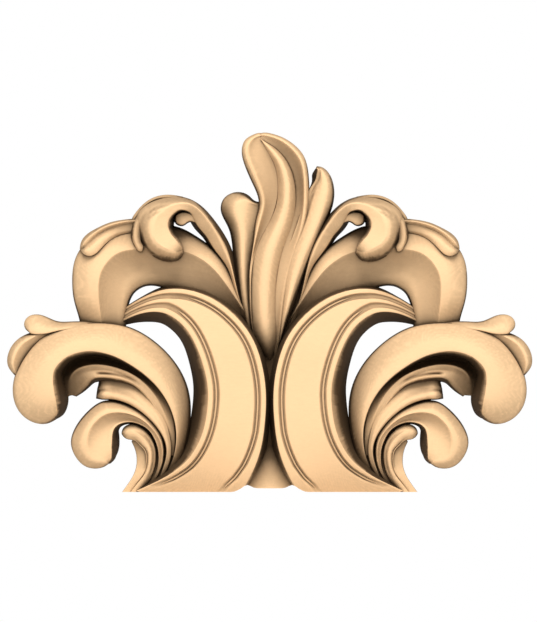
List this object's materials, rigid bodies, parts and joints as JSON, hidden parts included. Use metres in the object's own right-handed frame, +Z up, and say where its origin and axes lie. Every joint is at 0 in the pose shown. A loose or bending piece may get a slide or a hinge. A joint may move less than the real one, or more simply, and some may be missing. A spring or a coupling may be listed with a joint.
{
  "type": "acanthus crest applique",
  "caption": "Carved acanthus crest with a flat back, applied above a mirror, headboard or cornice as ornament.",
  "frame": {"origin": "middle of the flat back, on the centre line, 60 mm above the flat foot", "axes": "+X to the right seen from the front, +Y out of the flat back into the wall, +Z up"},
  "size_m": [0.3152, 0.033, 0.2156],
  "materials": {
    "carved_wood": "fine sanded, bare, matt"
  },
  "bodies": {
    "root": {"acanthus_crest": "carved_wood"}
  },
  "joints": []
}
